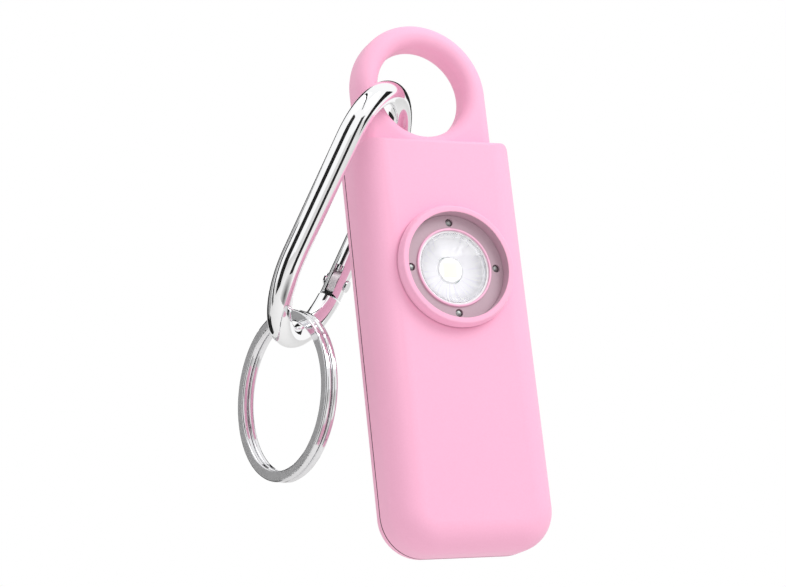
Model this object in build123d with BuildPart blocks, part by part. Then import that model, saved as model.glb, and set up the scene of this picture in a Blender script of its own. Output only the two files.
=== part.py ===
from build123d import *
import math
import os

# Pull-pin personal safety alarm. A keyring-sized case holds a siren and a torch.
# It hangs from the chunky ring of its pull pin, and a snap hook with a split
# ring hangs beside it in the same ring.
# The origin is the centre of the pull ring's hole. X is the width, +Y points to
# the back and +Z up. All lengths are in millimetres and angles in degrees.

# Case
bezel_height_up_case = 48.5
bezel_drop = 23.2
case_depth = 13.0
front_depth = 8.3
wall = 1.5
front_edge_radius = 4.8
rear_edge_radius = 4.6
inner_front_radius = 2.4
inner_rear_radius = 3.0
bottom_corner_radius = 7.2
top_corner_radius = 2.5
front_top_edge = 0.6
rear_top_edge = 1.8
ring_drop = 10.7
parting_groove_width = 0.25
parting_groove_depth = 0.45
cut_overrun = 1.0

# Pull pin
hole_radius = 8.35
pull_ring_radius = 12.5
pull_ring_thickness = 6.1
pull_ring_edge = 2.05
plug_width = 14.0
plug_thickness = 4.4
plug_length = 3.3
plug_corner = 0.8
plug_clearance = 0.1
tongue_width = 5.0
tongue_thickness = 1.2
tongue_length = 6.0
tongue_tip_chamfer = 0.4

# Bezel, grille and torch
bezel_inner_radius = 9.4
bezel_outer_radius = 11.2
bezel_top_radius = 10.4
bezel_rise = 2.0
bezel_outer_edge = 0.35
bezel_inner_edge = 0.15
grille_clearance = 0.05
grille_set_back = 0.1
grille_flange_radius = 10.7
grille_flange_thickness = 0.7
sound_hole_place_radius = 8.04
sound_hole_radius = 0.7
sound_hole_count = 4
rim_ring_outer = 7.0
rim_ring_inner = 6.65
rim_ring_rise = 0.35
cup_clearance = 0.05
cup_depth = 2.3
cup_wall = 0.35
cup_floor_radius = 2.6
cup_floor_thickness = 0.5
lens_thickness = 0.5
lens_dome = 0.45
lens_dome_share = 0.14
lens_seat_clearance = 0.05
led_base_radius = 2.3
led_base_thickness = 0.7
led_well_radius = 2.0
led_well_depth = 0.25
led_emitter_size = 2.7
led_emitter_thickness = 0.2
led_board_radius = 5.8
led_board_thickness = 0.8

# Sounder
sounder_outer_radius = 10.9
sounder_inner_radius = 9.6
sounder_depth = 2.3
piezo_radius = 10.2
piezo_thickness = 0.3
piezo_clearance = 0.1
ceramic_radius = 7.0
ceramic_thickness = 0.2

# Main board and what it carries
board_width = 18.0
board_tab_width = 12.0
board_thickness = 1.0
board_front_depth = 2.0
board_top_drop = 4.2
board_shoulder_drop = 10.0
board_holder_gap = 4.1
post_radius = 1.0
post_inset = 1.5
post_top_drop = 1.6
inductor_radius = 2.6
inductor_neck = 1.5
inductor_height = 3.0
inductor_flange = 0.6
inductor_side = 4.6
inductor_rise = 5.0
chip_length = 4.9
chip_width = 3.9
chip_thickness = 1.4
chip_side = 3.6
chip_rise = 15.0
chip_leg_count = 4
chip_leg_pitch = 1.27
chip_leg_width = 0.4
chip_leg_reach = 1.0
chip_leg_thickness = 0.2
capacitor_radius = 1.6
capacitor_height = 3.2
capacitor_side = 4.6
capacitor_rise = 5.2

# Pin switch
leaf_thickness = 0.2
leaf_width = 2.4
leaf_gap = 0.05
leaf_overlap = 3.6
leaf_root = 1.6
switch_base_width = 5.0
switch_base_height = 3.0
switch_base_gap = 0.4

# Batteries
cell_radius = 10.0
cell_thickness = 3.2
cell_step = 0.5
holder_side_gap = 2.2
holder_bottom_gap = 3.3
cell_clearance = 0.2
holder_wall = 1.1
holder_floor = 0.6
holder_height = 7.6
contact_thickness = 0.3
contact_radius = 5.0
contact_arm_width = 3.0
pad_width = 10.0
pad_thickness = 1.4

# Case screws and bosses
screw_side_inset = 4.3
screw_top_drop = 6.3
screw_bottom_rise = 6.0
boss_radius = 1.8
screw_shank_radius = 0.75
screw_head_radius = 1.25
screw_head_thickness = 0.9
screw_length = 6.0
screw_hole_clearance = 0.1
screw_head_clearance = 0.15
screw_sink = 0.25
cross_recess_length = 1.5
cross_recess_width = 0.35
cross_recess_depth = 0.4

# Snap hook: its oval lies in one plane, across the hole of the pull ring
wire_radius = 2.1
bend_radius = 12.0
oval_straight = 22.0
hook_yaw = 55.4
hook_lean = 25.7
hook_pitch = 18.0
hook_cross_gap = 1.95
hook_cross_angle = 206.0
hook_bend_angle = 76.1
gate_radius = 2.0
nose_straight = 2.6
pivot_rise = 1.2
collar_turn = 10.0
tang_thickness = 1.4
tang_radius = 2.0
tang_neck = 3.2
tang_root = 0.5
fork_clearance = 0.1
fork_depth = 3.0
gate_end_reach = 2.95
nose_gap = 0.4
nose_tongue_length = 2.4
nose_tongue_width = 2.6
nose_tongue_clearance = 0.3
nose_tongue_thickness = 1.2
lap_offset = 0.9
lap_length = 1.3
lap_gap = 0.1
rivet_radius = 0.7
rivet_clearance = 0.05
rivet_head_radius = 1.1
rivet_head_thickness = 0.25
plunger_radius = 0.9
plunger_clearance = 0.08
plunger_length = 2.6
plunger_gap = 0.05
gate_bore_length = 8.0
spring_wire_radius = 0.16
spring_end_gap = 0.05
spring_radius = 0.62
spring_turns = 7

# Split ring: two flat turns with one step between them
split_outer_radius = 15.0
split_band_width = 2.0
split_turn_thickness = 1.15
split_turn_gap = 0.1
split_step_half_width = 3.2
split_edge = 0.4
split_step_angle = -8.0
split_turn_angle = 189.7
split_tilt = 3.0
split_cross_gap = 0.55
split_cross_angle = 78.75
split_bend_angle = 9.2

# Places that follow from the sizes
contact_reach = cell_radius + cell_clearance + holder_wall
case_width = 2 * (contact_reach + holder_side_gap + wall)
case_height = bezel_height_up_case + bezel_drop
case_top = -ring_drop
case_bottom = case_top - case_height
front_face = -case_depth / 2
rear_face = case_depth / 2
parting = front_face + front_depth
front_inside = front_face + wall
rear_inside = rear_face - wall
bezel_centre = case_bottom + bezel_height_up_case
cell_centre = case_bottom + wall + holder_bottom_gap + contact_reach
screw_side = case_width / 2 - wall - screw_side_inset
screw_rows = (case_top - screw_top_drop, case_bottom + screw_bottom_rise)
screw_places = [(side * screw_side, row) for row in screw_rows for side in (-1, 1)]

os.makedirs("parts", exist_ok=True)


def at_depth(depth):
    """A front-view plane: x to the right, y up, its normal towards the front."""
    return Plane.XZ.offset(-depth)


def finish(solid, node_name):
    """Label a finished piece and write it."""
    solid.label = node_name
    export_step(solid, "parts/" + node_name + ".step")


def case_block(near, far, inset, edge_radius, round_front, top_edge=0):
    """A slab of the case between two depths, one face rounded along its sides and bottom.

    With a top edge radius it also gets the rounded corners and edge of the case's top.
    """
    width = case_width - 2 * inset
    low = case_bottom + inset
    high = case_top - inset
    with BuildPart() as block:
        with BuildSketch(at_depth(far)) as outline:
            with Locations((0, (low + high) / 2)):
                Rectangle(width, high - low)
            fillet(outline.vertices().group_by(Axis.Y)[0], bottom_corner_radius - inset)
        extrude(amount=far - near)
        rounded_face = block.faces().sort_by(Axis.Y)[0 if round_front else -1]
        fillet(rounded_face.edges().sort_by(Axis.Z)[:-1], edge_radius)
        if top_edge:
            with BuildSketch(at_depth(far)) as top_outline:
                with Locations((0, (low + high) / 2)):
                    Rectangle(width, high - low)
                fillet(top_outline.vertices().group_by(Axis.Y)[-1], top_corner_radius)
            extrude(amount=far - near, mode=Mode.INTERSECT)
            with BuildSketch(Plane.YZ.offset(-width / 2)) as side_outline:
                with Locations(((near + far) / 2, (low + high) / 2)):
                    Rectangle(far - near, high - low)
                outer_corners = side_outline.vertices().group_by(Axis.X)[0 if round_front else -1]
                fillet(outer_corners.sort_by(Axis.Y)[-1], top_edge)
            extrude(amount=width, mode=Mode.INTERSECT)
    return block.part


# Case shells
# Two mouldings meet at a plain parting line. The bezel and the screw bosses
# belong to the front one, the board posts and the cell rib to the rear one.
# Both have half of the slot that takes the pull pin's plug. A fine groove
# hides the joint between them.
front_outer = case_block(front_face, parting, 0, front_edge_radius, True, front_top_edge)
front_hollow = case_block(front_inside, parting, wall, inner_front_radius, True)
rear_outer = case_block(parting, rear_face, 0, rear_edge_radius, False, rear_top_edge)
rear_hollow = case_block(parting, rear_inside, wall, inner_rear_radius, False)

with BuildPart() as plug_slot:
    with BuildSketch(Plane.XY.offset(case_top - wall - cut_overrun)):
        RectangleRounded(
            plug_width + 2 * plug_clearance,
            plug_thickness + 2 * plug_clearance,
            plug_corner + plug_clearance,
        )
    extrude(amount=wall + 2 * cut_overrun)

with BuildPart() as parting_groove:
    with BuildSketch(at_depth(parting)):
        with Locations((0, (case_bottom + case_top) / 2)):
            Rectangle(case_width + 2 * cut_overrun, case_height + 2 * cut_overrun)
    extrude(amount=parting_groove_width)
    with BuildSketch(at_depth(parting)) as groove_floor:
        with Locations((0, (case_bottom + case_top) / 2)):
            Rectangle(case_width - 2 * parting_groove_depth, case_height - 2 * parting_groove_depth)
        fillet(groove_floor.vertices().group_by(Axis.Y)[0], bottom_corner_radius - parting_groove_depth)
        fillet(groove_floor.vertices().group_by(Axis.Y)[-1], top_corner_radius - parting_groove_depth)
    extrude(amount=parting_groove_width, mode=Mode.SUBTRACT)

with BuildPart() as front_shell:
    add(front_outer)
    add(front_hollow, mode=Mode.SUBTRACT)
    with BuildSketch(at_depth(front_inside)):
        with Locations((0, bezel_centre)):
            Circle(bezel_outer_radius)
    extrude(amount=wall)
    with BuildSketch(at_depth(front_face)):
        with Locations((0, bezel_centre)):
            Circle(bezel_outer_radius)
    with BuildSketch(at_depth(front_face - bezel_rise)):
        with Locations((0, bezel_centre)):
            Circle(bezel_top_radius)
    loft()
    bezel_rim = front_shell.faces().sort_by(Axis.Y)[0]
    fillet(bezel_rim.edges(), bezel_outer_edge)
    with BuildSketch(at_depth(front_inside + cut_overrun)):
        with Locations((0, bezel_centre)):
            Circle(bezel_inner_radius)
    extrude(amount=cut_overrun + wall + bezel_rise + cut_overrun, mode=Mode.SUBTRACT)
    bezel_top = front_shell.faces().sort_by(Axis.Y)[0]
    fillet(bezel_top.inner_wires()[0].edges(), bezel_inner_edge)
    with BuildSketch(at_depth(parting)):
        with Locations(*screw_places):
            Circle(boss_radius)
    extrude(amount=parting - front_inside)
    with BuildSketch(at_depth(parting)):
        with Locations(*screw_places):
            Circle(screw_shank_radius)
    extrude(amount=screw_length, mode=Mode.SUBTRACT)
    add(plug_slot.part, mode=Mode.SUBTRACT)
    add(parting_groove.part, mode=Mode.SUBTRACT)
finish(front_shell.part, "front_shell")

board_front = board_front_depth
board_back = board_front + board_thickness
board_top = case_top - board_top_drop
board_shoulder = case_top - board_shoulder_drop
board_bottom = cell_centre + contact_reach + board_holder_gap
post_side = board_width / 2 - post_inset
post_places = [
    (-post_side, board_shoulder - post_top_drop),
    (post_side, board_shoulder - post_top_drop),
    (-post_side, board_bottom + post_inset),
    (post_side, board_bottom + post_inset),
]

holder_front = front_inside
cell_front = holder_front + holder_floor + contact_thickness
cell_middle = cell_front + cell_thickness
cell_back = cell_middle + cell_thickness
pad_front = cell_back + contact_thickness

screw_seat = rear_face - screw_sink - screw_head_thickness

with BuildPart() as rear_shell:
    add(rear_outer)
    add(rear_hollow, mode=Mode.SUBTRACT)
    with BuildSketch(at_depth(rear_inside)):
        with Locations(*post_places):
            Circle(post_radius)
    extrude(amount=rear_inside - board_back)
    with BuildSketch(at_depth(rear_inside)):
        with Locations((0, cell_centre)):
            Rectangle(pad_width, pad_thickness)
            Rectangle(pad_thickness, pad_width)
    extrude(amount=rear_inside - pad_front)
    with BuildSketch(at_depth(rear_inside)):
        with Locations(*screw_places):
            Circle(boss_radius)
    extrude(amount=rear_inside - parting)
    with BuildSketch(at_depth(rear_face)):
        with Locations(*screw_places):
            Circle(screw_head_radius + screw_head_clearance)
    extrude(amount=rear_face - screw_seat, mode=Mode.SUBTRACT)
    with BuildSketch(at_depth(rear_face)):
        with Locations(*screw_places):
            Circle(screw_shank_radius + screw_hole_clearance)
    extrude(amount=rear_face - parting, mode=Mode.SUBTRACT)
    add(plug_slot.part, mode=Mode.SUBTRACT)
finish(rear_shell.part, "rear_shell")

# Case screws
# Four small pan-head screws with cross recesses, driven in from the back.
with BuildPart() as case_screws:
    with BuildSketch(at_depth(screw_seat)):
        with Locations(*screw_places):
            Circle(screw_shank_radius)
    extrude(amount=screw_seat - parting + screw_length)
    with BuildSketch(at_depth(screw_seat + screw_head_thickness)):
        with Locations(*screw_places):
            Circle(screw_head_radius)
    extrude(amount=screw_head_thickness)
    with BuildSketch(at_depth(screw_seat + screw_head_thickness)):
        with Locations(*screw_places):
            Rectangle(cross_recess_length, cross_recess_width)
            Rectangle(cross_recess_width, cross_recess_length)
    extrude(amount=cross_recess_depth, mode=Mode.SUBTRACT)
finish(case_screws.part, "case_screws")

# Grille plate
# A disc from the inside of the case closes the bezel. It has four sound holes
# round a raised ring, and its flange rests on the back of the front wall.
grille_front = front_face + grille_set_back
grille_back = front_inside + grille_flange_thickness
with BuildPart() as grille_plate:
    with BuildSketch(at_depth(front_inside)):
        with Locations((0, bezel_centre)):
            Circle(bezel_inner_radius - grille_clearance)
    extrude(amount=front_inside - grille_front)
    with BuildSketch(at_depth(grille_back)):
        with Locations((0, bezel_centre)):
            Circle(grille_flange_radius)
    extrude(amount=grille_flange_thickness)
    with BuildSketch(at_depth(grille_front)):
        with Locations((0, bezel_centre)):
            Circle(rim_ring_outer)
    extrude(amount=rim_ring_rise)
    rim_face = grille_plate.faces().sort_by(Axis.Y)[0]
    fillet(rim_face.edges(), rim_ring_rise / 2)
    with BuildSketch(at_depth(grille_back + cut_overrun)):
        with Locations((0, bezel_centre)):
            Circle(rim_ring_inner)
        with Locations((0, bezel_centre)):
            with PolarLocations(sound_hole_place_radius, sound_hole_count):
                Circle(sound_hole_radius)
    extrude(amount=grille_back - grille_front + rim_ring_rise + 2 * cut_overrun, mode=Mode.SUBTRACT)
finish(grille_plate.part, "grille_plate")

# Torch
# A plated cup sits in the grille plate's middle. A domed clear lens closes its
# mouth, and a light-emitting diode on its own small board shines through its floor.
cup_radius = rim_ring_inner - cup_clearance
cup_mouth = grille_front
cup_back = cup_mouth + cup_depth
cup_bore = cup_radius - cup_wall
lens_radius = cup_bore - lens_seat_clearance
with BuildPart() as reflector_cup:
    with BuildSketch(Plane.XY.offset(bezel_centre)):
        with BuildLine():
            mouth_bore = Line((cup_bore, cup_mouth), (cup_bore, cup_mouth + lens_thickness))
            ledge = Line(mouth_bore @ 1, (cup_bore - cup_wall, cup_mouth + lens_thickness))
            bowl = Spline(
                ledge @ 1,
                (cup_floor_radius, cup_back - cup_floor_thickness),
                tangents=((0, 1), (-1, 0)),
            )
            neck = Line(bowl @ 1, (cup_floor_radius, cup_back))
            back = Line(neck @ 1, (cup_radius, cup_back))
            side = Line(back @ 1, (cup_radius, cup_mouth))
            Line(side @ 1, mouth_bore @ 0)
        make_face()
    revolve(axis=Axis((0, 0, bezel_centre), (0, 1, 0)))
finish(reflector_cup.part, "reflector_cup")

with BuildPart() as front_lens:
    with BuildSketch(Plane.XY.offset(bezel_centre)):
        with BuildLine():
            flat = Line((0, cup_mouth + lens_thickness), (lens_radius, cup_mouth + lens_thickness))
            edge = Line(flat @ 1, (lens_radius, cup_mouth))
            dome = Spline(edge @ 1, (0, cup_mouth - lens_dome), tangents=((-1, -lens_dome_share), (-1, 0)))
            Line(dome @ 1, flat @ 0)
        make_face()
    revolve(axis=Axis((0, 0, bezel_centre), (0, 1, 0)))
finish(front_lens.part, "front_lens")

led_front = cup_back - led_base_thickness
with BuildPart() as led_board:
    with BuildSketch(at_depth(cup_back + led_board_thickness)):
        with Locations((0, bezel_centre)):
            Circle(led_board_radius)
    extrude(amount=led_board_thickness)
finish(led_board.part, "led_board")

with BuildPart() as led_base:
    with BuildSketch(at_depth(cup_back)):
        with Locations((0, bezel_centre)):
            Circle(led_base_radius)
    extrude(amount=led_base_thickness)
    with BuildSketch(at_depth(led_front)):
        with Locations((0, bezel_centre)):
            Circle(led_well_radius)
    extrude(amount=-led_well_depth, mode=Mode.SUBTRACT)
finish(led_base.part, "led_base")

with BuildPart() as led_emitter:
    with BuildSketch(at_depth(led_front + led_well_depth)):
        with Locations((0, bezel_centre)):
            Rectangle(led_emitter_size, led_emitter_size)
    extrude(amount=led_emitter_thickness)
finish(led_emitter.part, "led_emitter")

# Sounder
# A brass disc with a ceramic layer on its back is held in a plastic ring
# behind the grille plate, so that the air in front of it sings through the holes.
sounder_back = grille_back + sounder_depth
piezo_front = sounder_back - ceramic_thickness - piezo_thickness
with BuildPart() as sounder_ring:
    with BuildSketch(at_depth(sounder_back)):
        with Locations((0, bezel_centre)):
            Circle(sounder_outer_radius)
            Circle(sounder_inner_radius, mode=Mode.SUBTRACT)
    extrude(amount=sounder_depth)
    with BuildSketch(at_depth(sounder_back)):
        with Locations((0, bezel_centre)):
            Circle(piezo_radius + piezo_clearance)
    extrude(amount=sounder_back - piezo_front, mode=Mode.SUBTRACT)
finish(sounder_ring.part, "sounder_ring")

with BuildPart() as piezo_disc:
    with BuildSketch(at_depth(piezo_front + piezo_thickness)):
        with Locations((0, bezel_centre)):
            Circle(piezo_radius)
    extrude(amount=piezo_thickness)
finish(piezo_disc.part, "piezo_disc")

with BuildPart() as piezo_ceramic:
    with BuildSketch(at_depth(piezo_front + piezo_thickness + ceramic_thickness)):
        with Locations((0, bezel_centre)):
            Circle(ceramic_radius)
    extrude(amount=ceramic_thickness)
finish(piezo_ceramic.part, "piezo_ceramic")

# Main board
# It lies on four posts of the rear shell. Its tab at the top reaches up between
# the screw bosses and carries the pin switch.
with BuildPart() as main_board:
    with BuildSketch(at_depth(board_back)):
        with Locations((0, (board_shoulder + board_bottom) / 2)):
            Rectangle(board_width, board_shoulder - board_bottom)
        with Locations((0, (board_top + board_shoulder) / 2)):
            Rectangle(board_tab_width, board_top - board_shoulder)
    extrude(amount=board_thickness)
finish(main_board.part, "main_board")

with BuildPart() as boost_inductor:
    with BuildSketch(at_depth(board_front)):
        with Locations((-inductor_side, board_bottom + inductor_rise)):
            Circle(inductor_radius)
    extrude(amount=inductor_flange)
    with BuildSketch(at_depth(board_front - inductor_flange)):
        with Locations((-inductor_side, board_bottom + inductor_rise)):
            Circle(inductor_neck)
    extrude(amount=inductor_height - 2 * inductor_flange)
    with BuildSketch(at_depth(board_front - inductor_height + inductor_flange)):
        with Locations((-inductor_side, board_bottom + inductor_rise)):
            Circle(inductor_radius)
    extrude(amount=inductor_flange)
finish(boost_inductor.part, "boost_inductor")

with BuildPart() as capacitor:
    with BuildSketch(at_depth(board_front)):
        with Locations((capacitor_side, board_bottom + capacitor_rise)):
            Circle(capacitor_radius)
    extrude(amount=capacitor_height)
finish(capacitor.part, "capacitor")

chip_row = board_bottom + chip_rise
leg_rows = [
    chip_row + (index - (chip_leg_count - 1) / 2) * chip_leg_pitch
    for index in range(chip_leg_count)
]
with BuildPart() as siren_chip:
    with BuildSketch(at_depth(board_front)):
        with Locations((-chip_side, chip_row)):
            Rectangle(chip_width, chip_length)
    extrude(amount=chip_thickness)
    with BuildSketch(at_depth(board_front)):
        with Locations(*[(-chip_side, row) for row in leg_rows]):
            Rectangle(chip_width + 2 * chip_leg_reach, chip_leg_width)
    extrude(amount=chip_leg_thickness)
finish(siren_chip.part, "siren_chip")

# Pull pin
# One moulding: a thick ring with a rounded section, a low web that stands on
# the case's top face, a plug that fits the slot, and a thin tongue that keeps
# the two leaves of the switch apart until the pin is pulled.
plug_bottom = case_top - plug_length
tongue_bottom = plug_bottom - tongue_length
with BuildPart() as pull_pin:
    with BuildSketch(at_depth(pull_ring_thickness / 2)):
        with BuildLine():
            crown = ThreePointArc((-pull_ring_radius, 0), (0, pull_ring_radius), (pull_ring_radius, 0))
            Polyline(crown @ 1, (pull_ring_radius, case_top), (-pull_ring_radius, case_top), crown @ 0)
        make_face()
        Circle(hole_radius, mode=Mode.SUBTRACT)
    extrude(amount=pull_ring_thickness)
    ring_faces = pull_pin.faces().filter_by(Axis.Y)
    ring_edges = ring_faces.edges().sort_by(Axis.Z)[2:]
    fillet(ring_edges, pull_ring_edge)
    with BuildSketch(Plane.XY.offset(case_top)):
        RectangleRounded(plug_width, plug_thickness, plug_corner)
    extrude(amount=-plug_length)
    with BuildSketch(Plane.XY.offset(plug_bottom)):
        Rectangle(tongue_width, tongue_thickness)
    extrude(amount=-tongue_length)
    tongue_tip = pull_pin.faces().sort_by(Axis.Z)[0]
    chamfer(tongue_tip.edges().filter_by(Axis.X), tongue_tip_chamfer)
finish(pull_pin.part, "pull_pin")

# Pin switch
# Two springy leaves stand in a small block on the board's tab, one on each
# side of the tongue.
leaf_top = tongue_bottom + leaf_overlap
switch_top = tongue_bottom - switch_base_gap
switch_bottom = switch_top - switch_base_height
front_leaf_face = -tongue_thickness / 2 - leaf_gap - leaf_thickness
rear_leaf_face = tongue_thickness / 2 + leaf_gap
with BuildPart() as switch_base:
    with BuildSketch(Plane.XY.offset(switch_bottom)):
        with Locations((0, (front_leaf_face - leaf_thickness + board_front) / 2)):
            Rectangle(switch_base_width, board_front - front_leaf_face + leaf_thickness)
    extrude(amount=switch_base_height)
    with BuildSketch(Plane.XY.offset(switch_top - leaf_root)):
        with Locations(
            (0, front_leaf_face + leaf_thickness / 2),
            (0, rear_leaf_face + leaf_thickness / 2),
        ):
            Rectangle(leaf_width, leaf_thickness)
    extrude(amount=leaf_root, mode=Mode.SUBTRACT)
finish(switch_base.part, "switch_base")

leaf_faces = (("switch_leaf_front", front_leaf_face), ("switch_leaf_rear", rear_leaf_face))
for leaf_name, leaf_face in leaf_faces:
    with BuildPart() as leaf:
        with BuildSketch(Plane.XY.offset(switch_top - leaf_root)):
            with Locations((0, leaf_face + leaf_thickness / 2)):
                Rectangle(leaf_width, leaf_thickness)
        extrude(amount=leaf_top - switch_top + leaf_root)
    finish(leaf.part, leaf_name)

# Batteries
# Two coin cells lie one on the other in a round tray on the front wall,
# between a contact plate on its floor and a sprung one that a rib of the rear
# shell presses on.
with BuildPart() as battery_holder:
    with BuildSketch(at_depth(holder_front + holder_height)):
        with Locations((0, cell_centre)):
            Circle(cell_radius + cell_clearance + holder_wall)
    extrude(amount=holder_height)
    with BuildSketch(at_depth(holder_front + holder_height)):
        with Locations((0, cell_centre)):
            Circle(cell_radius + cell_clearance)
    extrude(amount=holder_height - holder_floor, mode=Mode.SUBTRACT)
    with BuildSketch(at_depth(holder_front + holder_height)):
        with Locations((0, cell_centre + contact_reach)):
            Rectangle(contact_arm_width + 2 * cell_clearance, 4 * holder_wall)
    extrude(amount=holder_height - holder_floor, mode=Mode.SUBTRACT)
finish(battery_holder.part, "battery_holder")

for cell_name, cell_face in (("battery_cell_front", cell_front), ("battery_cell_rear", cell_middle)):
    with BuildPart() as cell:
        with BuildSketch(at_depth(cell_face + cell_thickness)):
            with Locations((0, cell_centre)):
                Circle(cell_radius)
        extrude(amount=cell_thickness - cell_step)
        with BuildSketch(at_depth(cell_face + cell_step)):
            with Locations((0, cell_centre)):
                Circle(cell_radius - 2 * cell_step)
        extrude(amount=cell_step)
    finish(cell.part, cell_name)

contact_faces = (
    ("battery_contact_front", cell_front - contact_thickness),
    ("battery_contact_rear", cell_back),
)
for contact_name, contact_face in contact_faces:
    with BuildPart() as contact:
        with BuildSketch(at_depth(contact_face + contact_thickness)):
            with Locations((0, cell_centre)):
                Circle(contact_radius)
            with Locations((0, cell_centre + contact_reach / 2)):
                Rectangle(contact_arm_width, contact_reach)
        extrude(amount=contact_thickness)
    finish(contact.part, contact_name)

# Snap hook
# Its frame is a bent round wire. The oval crosses the pull ring's hole
# where the wire rests low on the hole's left side. The gate closes the arm
# behind the case, and turns on a rivet at its lower end. The frame's wire ends in
# a square collar inside the lower bend, with a flat tang that fills the gate's fork.
hook_turn = Rot(0, hook_lean, 0) * Rot(hook_pitch, 0, 0) * Rot(0, 0, hook_yaw) * Rot(90, 0, 0)


def on_top_bend(angle):
    """A point of the wire's centre line on the upper bend, in the oval's own plane."""
    return (
        bend_radius * math.cos(math.radians(angle)),
        oval_straight / 2 + bend_radius * math.sin(math.radians(angle)),
    )


def on_bottom_bend(angle):
    """A point of the wire's centre line on the lower bend, in the oval's own plane."""
    return (
        bend_radius * math.sin(math.radians(angle)),
        -oval_straight / 2 - bend_radius * math.cos(math.radians(angle)),
    )


cross_radius = hole_radius - wire_radius - hook_cross_gap
cross_point = Vector(
    cross_radius * math.cos(math.radians(hook_cross_angle)),
    0,
    cross_radius * math.sin(math.radians(hook_cross_angle)),
)
hook_centre = cross_point - (hook_turn * Pos(*on_top_bend(hook_bend_angle), 0)).position
oval = Plane(Pos(hook_centre) * hook_turn)

arm_foot = -oval_straight / 2
pivot = arm_foot + pivot_rise
gate_length = oval_straight - pivot_rise - nose_gap - nose_straight
gate_top = pivot + gate_length
nose = gate_top + nose_gap
collar_place = on_bottom_bend(90 - collar_turn)
collar_plane = Plane(
    origin=oval.from_local_coords((*collar_place, 0)),
    x_dir=oval.z_dir,
    z_dir=oval.x_dir * math.sin(math.radians(collar_turn)) + oval.y_dir * math.cos(math.radians(collar_turn)),
)
tang_foot = collar_place[1] - tang_root


def across_gate_arm(height):
    """A plane square to the gate's arm, its normal up the arm."""
    return Plane(
        origin=oval.from_local_coords((bend_radius, height, 0)),
        x_dir=oval.x_dir,
        z_dir=oval.y_dir,
    )


with BuildPart() as carabiner_frame:
    with BuildLine(oval) as wire_path:
        ThreePointArc(collar_place, (0, arm_foot - bend_radius), (-bend_radius, arm_foot))
        Line((-bend_radius, arm_foot), (-bend_radius, -arm_foot))
        ThreePointArc(
            (-bend_radius, -arm_foot),
            (0, bend_radius - arm_foot),
            (bend_radius, -arm_foot),
        )
        Line((bend_radius, -arm_foot), (bend_radius, nose))
    with BuildSketch(collar_plane):
        Circle(wire_radius)
    sweep(path=wire_path.wires()[0])
    with BuildSketch(oval.offset(-tang_thickness / 2)):
        with Locations((bend_radius, pivot)):
            Circle(tang_radius)
        with Locations((bend_radius, (pivot + tang_foot) / 2)):
            Rectangle(tang_neck, pivot - tang_foot)
    extrude(amount=tang_thickness)
    with BuildSketch(oval.offset(-nose_tongue_thickness / 2)):
        with Locations((bend_radius, nose - nose_tongue_length / 2)):
            Rectangle(nose_tongue_width, nose_tongue_length)
    extrude(amount=nose_tongue_thickness)
    with BuildSketch(across_gate_arm(nose)):
        with BuildLine():
            lap_half = math.sqrt(wire_radius**2 - lap_offset**2)
            rim = ThreePointArc((lap_offset, -lap_half), (wire_radius, 0), (lap_offset, lap_half))
            Line(rim @ 1, rim @ 0)
        make_face()
    extrude(amount=-lap_length)
    with BuildSketch(oval.offset(-wire_radius)):
        with Locations((bend_radius, pivot)):
            Circle(rivet_radius + rivet_clearance)
    extrude(amount=2 * wire_radius, mode=Mode.SUBTRACT)
finish(carabiner_frame.part, "carabiner_frame")

slot_half = tang_thickness / 2 + fork_clearance
tongue_slot_half = nose_tongue_thickness / 2 + fork_clearance
tongue_slot_depth = nose_tongue_length + nose_tongue_clearance
with BuildPart() as carabiner_gate:
    with BuildSketch(across_gate_arm(pivot - gate_end_reach - cut_overrun)):
        Circle(gate_radius)
    extrude(amount=gate_end_reach + cut_overrun + gate_length)
    with BuildSketch(oval.offset(-gate_radius - cut_overrun)):
        with Locations((bend_radius, pivot)):
            Circle(gate_end_reach)
        with Locations((bend_radius, pivot + gate_length / 2)):
            Rectangle(2 * (gate_radius + cut_overrun), gate_length)
    extrude(amount=2 * (gate_radius + cut_overrun), mode=Mode.INTERSECT)
    with BuildSketch(oval.offset(-slot_half)):
        with Locations((bend_radius, pivot + (fork_depth - gate_end_reach - cut_overrun) / 2)):
            Rectangle(2 * (gate_radius + cut_overrun), fork_depth + gate_end_reach + cut_overrun)
    extrude(amount=2 * slot_half, mode=Mode.SUBTRACT)
    with BuildSketch(oval.offset(-tongue_slot_half)):
        with Locations((bend_radius, gate_top - (tongue_slot_depth - cut_overrun) / 2)):
            Rectangle(2 * (gate_radius + cut_overrun), tongue_slot_depth + cut_overrun)
    extrude(amount=2 * tongue_slot_half, mode=Mode.SUBTRACT)
    with BuildSketch(oval.offset(-gate_radius)):
        with Locations((bend_radius + lap_offset - lap_gap + gate_radius / 2, gate_top)):
            Rectangle(gate_radius, 2 * lap_length)
    extrude(amount=2 * gate_radius, mode=Mode.SUBTRACT)
    with BuildSketch(across_gate_arm(pivot + fork_depth)):
        Circle(plunger_radius + plunger_clearance)
    extrude(amount=gate_bore_length, mode=Mode.SUBTRACT)
    with BuildSketch(oval.offset(-gate_radius)):
        with Locations((bend_radius, pivot)):
            Circle(rivet_radius)
    extrude(amount=2 * gate_radius, mode=Mode.SUBTRACT)
finish(carabiner_gate.part, "carabiner_gate")

with BuildPart() as gate_rivet:
    with BuildSketch(oval.offset(-gate_radius - rivet_head_thickness)):
        with Locations((bend_radius, pivot)):
            Circle(rivet_head_radius)
    extrude(amount=rivet_head_thickness)
    with BuildSketch(oval.offset(-gate_radius)):
        with Locations((bend_radius, pivot)):
            Circle(rivet_radius)
    extrude(amount=2 * gate_radius)
    with BuildSketch(oval.offset(gate_radius)):
        with Locations((bend_radius, pivot)):
            Circle(rivet_head_radius)
    extrude(amount=rivet_head_thickness)
finish(gate_rivet.part, "gate_rivet")

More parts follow.
